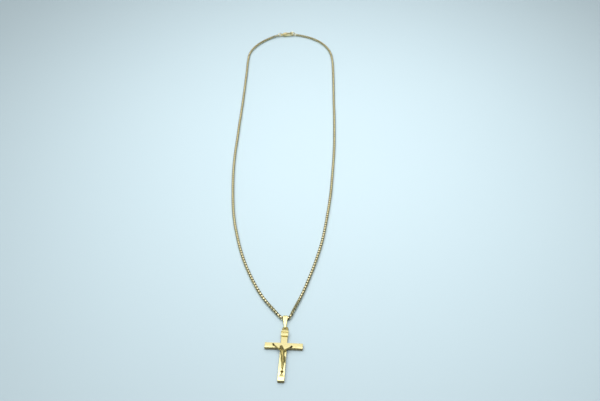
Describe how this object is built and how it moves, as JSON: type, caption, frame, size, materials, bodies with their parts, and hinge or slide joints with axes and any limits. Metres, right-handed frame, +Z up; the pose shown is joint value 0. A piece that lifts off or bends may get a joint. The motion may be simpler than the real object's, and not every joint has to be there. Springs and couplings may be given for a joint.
{
  "type": "cross necklace",
  "caption": "Gold crucifix on a box chain: lying necklace with a tapered bail, a cross with a figure and a plain scroll, and a lobster clasp with a sprung lever.",
  "frame": {"origin": "middle of the necklace's box, on the surface that it lies on", "axes": "+Y from the cross to the clasp, +Z up out of the surface, +X to the right of one who reads the cross upright"},
  "size_m": [0.0622, 0.3179, 0.0035],
  "materials": {
    "chain_gold": "polished yellow gold",
    "cross_gold": "polished yellow gold",
    "clasp_gold": "polished yellow gold"
  },
  "bodies": {
    "necklace": {"chain_left": "chain_gold", "chain_right": "chain_gold", "bail": "cross_gold", "crucifix": "cross_gold", "clasp_body": "clasp_gold", "clasp_pin": "clasp_gold", "tail_ring": "clasp_gold", "hook_ring": "clasp_gold", "end_ring": "clasp_gold"},
    "lever": {"clasp_lever": "clasp_gold"}
  },
  "joints": [
    {"name": "lever_hinge", "type": "hinge", "parent": "necklace", "child": "lever", "pos_m": [-0.00264, 0.15572, 0.00115], "axis": [0, 0, 1], "range_deg": [0, 12], "stiffness_Nm_per_rad": 0.001, "springref_deg": -17.19}
  ]
}
